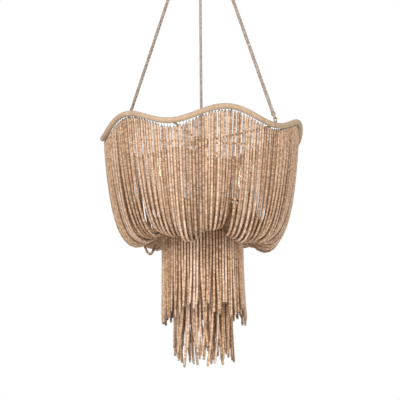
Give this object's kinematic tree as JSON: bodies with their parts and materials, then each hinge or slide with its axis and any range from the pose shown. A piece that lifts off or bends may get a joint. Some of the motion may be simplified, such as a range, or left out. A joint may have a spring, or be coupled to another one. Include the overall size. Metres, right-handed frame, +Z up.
{
  "type": "beaded chandelier",
  "caption": "Ceiling chandelier with a wavy cord-wrapped ring hung on ropes, bead strings that sag from it to a hoop, straight bead fringes below and candle lamps inside.",
  "frame": {"origin": "middle of the crossbar's top face, which lies against the ceiling", "axes": "+Z up out of the ceiling face, -Y towards the front, +X to the right as seen from the front"},
  "size_m": [0.61, 0.6096, 1.4797],
  "materials": {
    "beads": "matt small disc beads",
    "wrapped_cord": "cord wound closely round a tube",
    "rope": "twisted rope",
    "supply_cord": "cloth-covered cord",
    "brass": "aged satin",
    "steel": "plated",
    "candle_sleeve": "ivory sleeve",
    "terminal_plastic": "plain",
    "bulb_glass": "clear warm glass"
  },
  "bodies": {
    "ceiling": {"ceiling_crossbar": "steel", "ceiling_canopy": "brass", "canopy_screw_left": "brass", "canopy_screw_right": "brass", "ceiling_hook": "brass"},
    "link": {"hanging_link": "brass"},
    "chandelier": {"rope_gather": "brass", "supply_lead": "supply_cord", "terminal_block": "terminal_plastic", "centre_cord": "supply_cord", "ring_eyelet_right": "brass", "ring_eyelet_left": "brass", "rope_end_low_right": "brass", "rope_end_low_left": "brass", "rope_end_high_right": "brass", "rope_end_high_left": "brass", "rope_right": "rope", "rope_left": "rope", "wavy_ring": "wrapped_cord", "top_hub": "brass", "ring_spoke_1": "brass", "ring_spoke_2": "brass", "ring_spoke_3": "brass", "ring_spoke_4": "brass", "ring_spoke_5": "brass", "ring_spoke_6": "brass", "centre_column": "brass", "arm_hub": "brass", "lamp_arm_1": "brass", "lamp_arm_2": "brass", "lamp_arm_3": "brass", "lamp_arm_4": "brass", "lamp_arm_5": "brass", "lamp_arm_6": "brass", "lamp_holder_1": "candle_sleeve", "lamp_holder_2": "candle_sleeve", "lamp_holder_3": "candle_sleeve", "lamp_holder_4": "candle_sleeve", "lamp_holder_5": "candle_sleeve", "lamp_holder_6": "candle_sleeve", "gather_hoop": "brass", "inner_hoop": "brass", "lower_spider": "brass", "bottom_nut": "brass", "bead_curtain_1": "beads", "bead_curtain_2": "beads", "bead_curtain_3": "beads", "bead_curtain_4": "beads", "bead_curtain_5": "beads", "bead_curtain_6": "beads", "upper_fringe_1": "beads", "upper_fringe_2": "beads", "lower_fringe_1": "beads", "lower_fringe_2": "beads"},
    "lamp_bulb_1": {"bulb_1": "bulb_glass"},
    "lamp_bulb_2": {"bulb_2": "bulb_glass"},
    "lamp_bulb_3": {"bulb_3": "bulb_glass"},
    "lamp_bulb_4": {"bulb_4": "bulb_glass"},
    "lamp_bulb_5": {"bulb_5": "bulb_glass"},
    "lamp_bulb_6": {"bulb_6": "bulb_glass"}
  },
  "joints": [
    {"name": "link_swing", "type": "hinge", "parent": "ceiling", "child": "link", "pos_m": [0, 0, -0.043], "axis": [1, 0, 0], "range_deg": [-15, 15]},
    {"name": "chandelier_swing", "type": "hinge", "parent": "link", "child": "chandelier", "pos_m": [0, 0, -0.0777], "axis": [0, 1, 0], "range_deg": [-15, 15]},
    {"name": "bulb_turn_1", "type": "hinge", "parent": "chandelier", "child": "lamp_bulb_1", "pos_m": [0.13595, -0.06339, -0.949], "axis": [0, 0, 1], "range_deg": [0, 1080]},
    {"name": "bulb_turn_2", "type": "hinge", "parent": "chandelier", "child": "lamp_bulb_2", "pos_m": [0.12287, 0.08604, -0.949], "axis": [0, 0, 1], "range_deg": [0, 1080]},
    {"name": "bulb_turn_3", "type": "hinge", "parent": "chandelier", "child": "lamp_bulb_3", "pos_m": [-0.01307, 0.14943, -0.949], "axis": [0, 0, 1], "range_deg": [0, 1080]},
    {"name": "bulb_turn_4", "type": "hinge", "parent": "chandelier", "child": "lamp_bulb_4", "pos_m": [-0.13595, 0.06339, -0.949], "axis": [0, 0, 1], "range_deg": [0, 1080]},
    {"name": "bulb_turn_5", "type": "hinge", "parent": "chandelier", "child": "lamp_bulb_5", "pos_m": [-0.12287, -0.08604, -0.949], "axis": [0, 0, 1], "range_deg": [0, 1080]},
    {"name": "bulb_turn_6", "type": "hinge", "parent": "chandelier", "child": "lamp_bulb_6", "pos_m": [0.01307, -0.14943, -0.949], "axis": [0, 0, 1], "range_deg": [0, 1080]}
  ]
}
